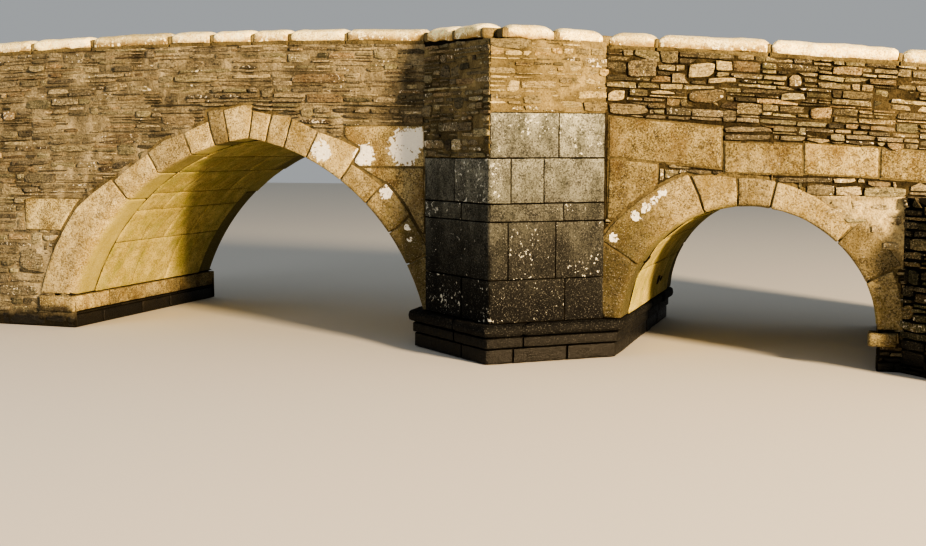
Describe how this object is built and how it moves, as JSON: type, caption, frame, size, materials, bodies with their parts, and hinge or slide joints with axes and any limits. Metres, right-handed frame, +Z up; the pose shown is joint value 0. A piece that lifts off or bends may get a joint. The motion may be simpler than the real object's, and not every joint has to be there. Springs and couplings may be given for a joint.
{
  "type": "stone arch bridge",
  "caption": "Old stone arch bridge with a pointed pier, refuges above it, a ring of wedge stones round each arch, rubble walls and rounded coping along both parapets.",
  "frame": {"origin": "centre of the bridge's footprint at water level", "axes": "+X along the bridge, +Y across it to the downstream face, +Z up"},
  "size_m": [14.4, 5.463, 3.6697],
  "materials": {
    "granite": "rough",
    "slate_rubble": "rough",
    "rubble_fill": "rough",
    "road_surface": "rough"
  },
  "bodies": {
    "root": {"cutwater_back": "granite", "cutwater_front": "granite", "east_abutment": "slate_rubble", "east_arch_barrel": "granite", "east_backing": "rubble_fill", "east_coping_back": "granite", "east_coping_front": "granite", "east_impost_ledge": "granite", "east_parapet_back": "slate_rubble", "east_parapet_front": "slate_rubble", "east_ring_back": "granite", "east_ring_front": "granite", "east_spandrel_back": "slate_rubble", "east_spandrel_front": "slate_rubble", "granite_course_back": "granite", "granite_course_front": "granite", "pier_base_band": "granite", "pier_base_roll": "granite", "pier_core": "rubble_fill", "pier_plinth": "granite", "refuge_coping_back": "granite", "refuge_coping_front": "granite", "refuge_floor_back": "slate_rubble", "refuge_floor_front": "slate_rubble", "refuge_wall_back_east": "slate_rubble", "refuge_wall_back_west": "slate_rubble", "refuge_wall_front_east": "slate_rubble", "refuge_wall_front_west": "slate_rubble", "roadway": "road_surface", "rubble_buttress": "slate_rubble", "springer_stone": "granite", "west_abutment": "slate_rubble", "west_arch_barrel": "granite", "west_backing": "rubble_fill", "west_coping_back": "granite", "west_coping_front": "granite", "west_impost_ledge": "granite", "west_parapet_back": "slate_rubble", "west_parapet_front": "slate_rubble", "west_ring_back": "granite", "west_ring_front": "granite", "west_spandrel_back": "slate_rubble", "west_spandrel_front": "slate_rubble"}
  },
  "joints": []
}
